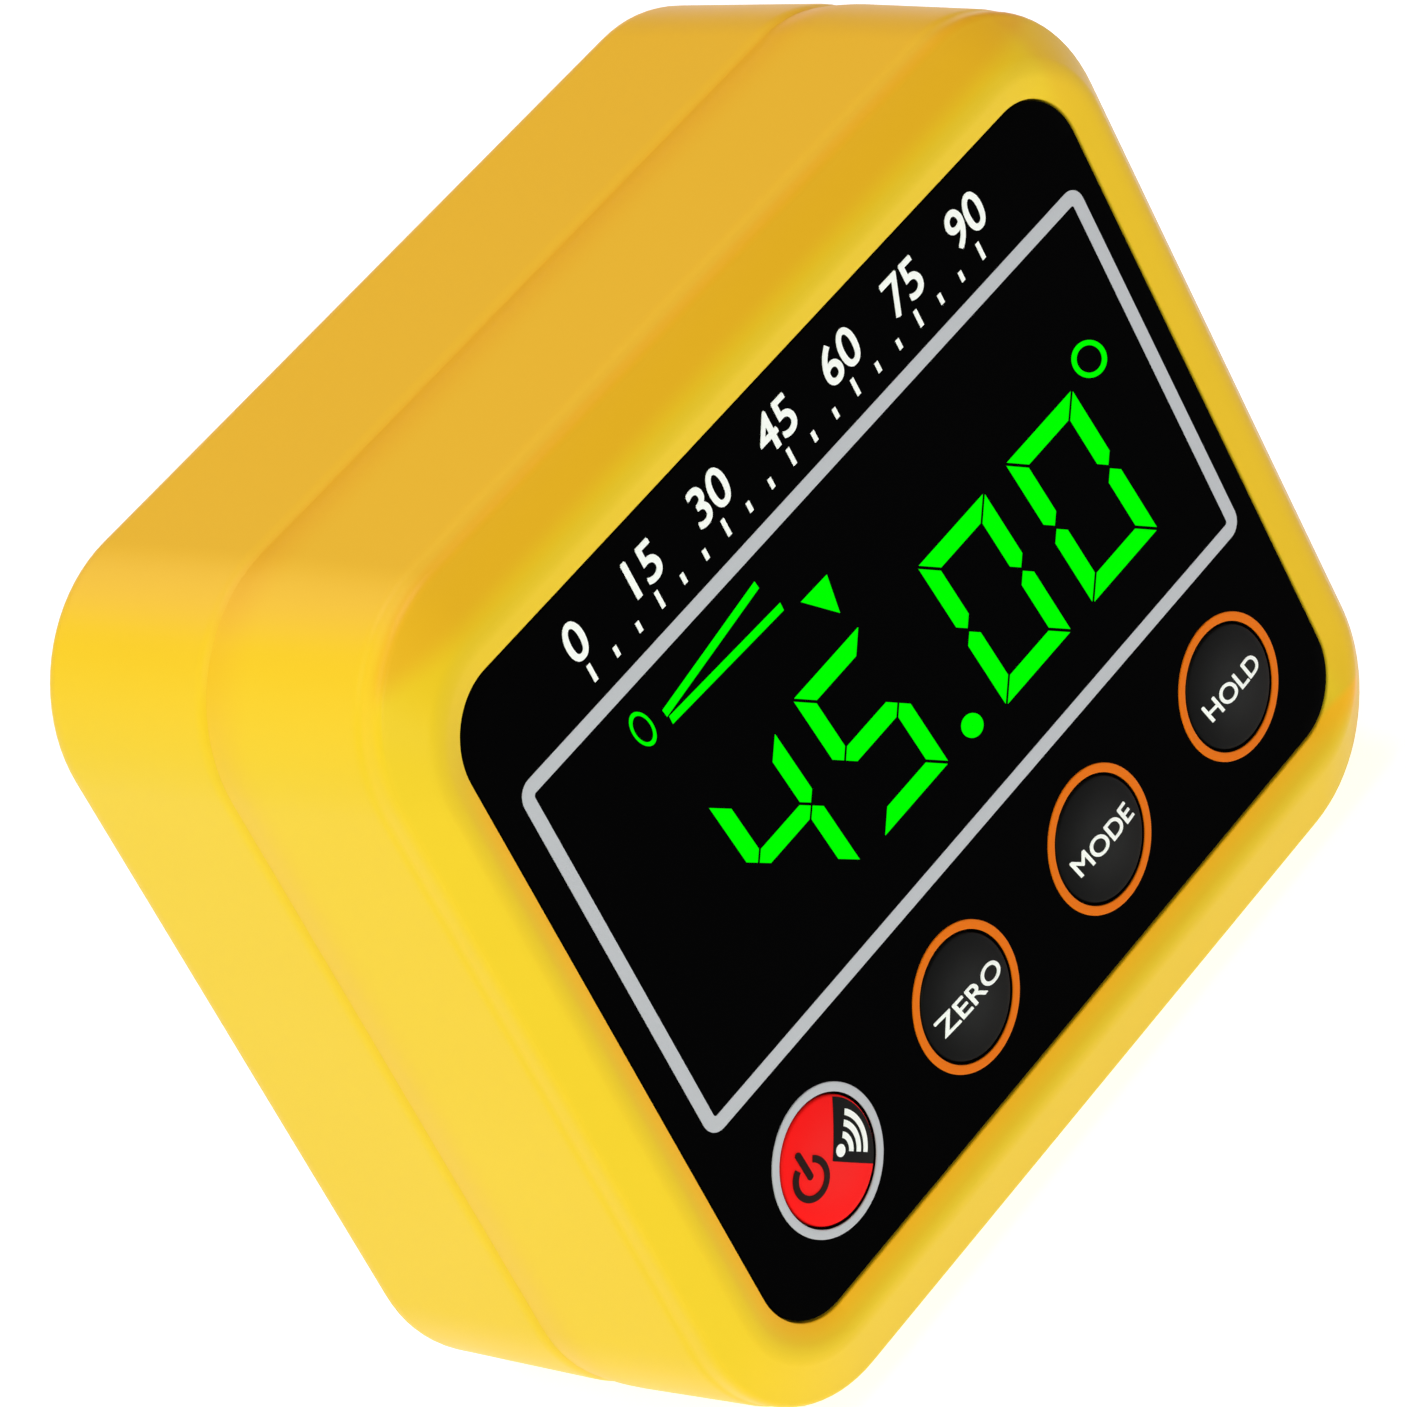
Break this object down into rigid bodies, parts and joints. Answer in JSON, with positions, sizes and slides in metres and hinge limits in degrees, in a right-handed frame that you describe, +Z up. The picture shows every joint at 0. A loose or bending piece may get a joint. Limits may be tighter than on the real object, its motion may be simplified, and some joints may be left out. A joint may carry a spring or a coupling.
{
  "type": "digital angle gauge",
  "caption": "Pocket digital angle gauge: rounded two-shell box with a flat magnetic base, lit angle display behind a black face panel, a row of press keys and a rear battery bay.",
  "frame": {"origin": "centre of the housing's footprint, on the plane of the flat base", "axes": "+X to the right seen from the front, +Y from the face to the back, +Z up from the base"},
  "size_m": [0.06, 0.026, 0.0525],
  "materials": {
    "housing_yellow": "satin moulded ABS",
    "panel_black": "polished black sheet",
    "key_black": "satin black",
    "key_red": "satin red",
    "switch_dark": "moulded",
    "switch_metal": "tinned sheet cover",
    "board_green": "solder mask",
    "chip_black": "moulded",
    "led_white": "moulded",
    "display_glass": "polished",
    "gasket_foam": "foam",
    "guide_white": "frosted",
    "strip_rubber": "matte",
    "cell_sleeve": "printed sleeve with bare ends",
    "contact_plate": "nickel plated",
    "magnet_plate": "nickel plated",
    "screw_steel": "zinc plated"
  },
  "bodies": {
    "housing": {"front_cover": "housing_yellow", "rear_cover": "housing_yellow", "face_panel": "panel_black", "circuit_board": "board_green", "tilt_sensor": "chip_black", "controller_chip": "chip_black", "backlight_leds": "led_white", "display_glass": "display_glass", "display_gasket": "gasket_foam", "light_guide": "guide_white", "contact_strip_upper": "strip_rubber", "contact_strip_lower": "strip_rubber", "cell_upper": "cell_sleeve", "cell_lower": "cell_sleeve", "bridge_contact": "contact_plate", "bridge_spring": "contact_plate", "positive_terminal": "contact_plate", "negative_terminal": "contact_plate", "negative_spring": "contact_plate", "magnet_front_left": "magnet_plate", "magnet_front_right": "magnet_plate", "magnet_rear_left": "magnet_plate", "magnet_rear_right": "magnet_plate", "housing_screws": "screw_steel", "board_screws": "screw_steel", "power_switch": "switch_metal", "zero_switch": "switch_metal", "mode_switch": "switch_metal", "hold_switch": "switch_metal"},
    "power_button": {"power_key": "key_red", "power_plunger": "switch_dark"},
    "zero_button": {"zero_key": "key_black", "zero_plunger": "switch_dark"},
    "mode_button": {"mode_key": "key_black", "mode_plunger": "switch_dark"},
    "hold_button": {"hold_key": "key_black", "hold_plunger": "switch_dark"},
    "door": {"battery_door": "housing_yellow"}
  },
  "joints": [
    {"name": "power_press", "type": "slide", "parent": "housing", "child": "power_button", "axis": [0, 1, 0], "range_m": [0, 0.0005], "stiffness_N_per_m": 400, "springref_m": -0.001},
    {"name": "zero_press", "type": "slide", "parent": "housing", "child": "zero_button", "axis": [0, 1, 0], "range_m": [0, 0.0005], "stiffness_N_per_m": 400, "springref_m": -0.001},
    {"name": "mode_press", "type": "slide", "parent": "housing", "child": "mode_button", "axis": [0, 1, 0], "range_m": [0, 0.0005], "stiffness_N_per_m": 400, "springref_m": -0.001},
    {"name": "hold_press", "type": "slide", "parent": "housing", "child": "hold_button", "axis": [0, 1, 0], "range_m": [0, 0.0005], "stiffness_N_per_m": 400, "springref_m": -0.001},
    {"name": "door_lift", "type": "slide", "parent": "housing", "child": "door", "axis": [0, 1, 0], "range_m": [0, 0.025]}
  ]
}
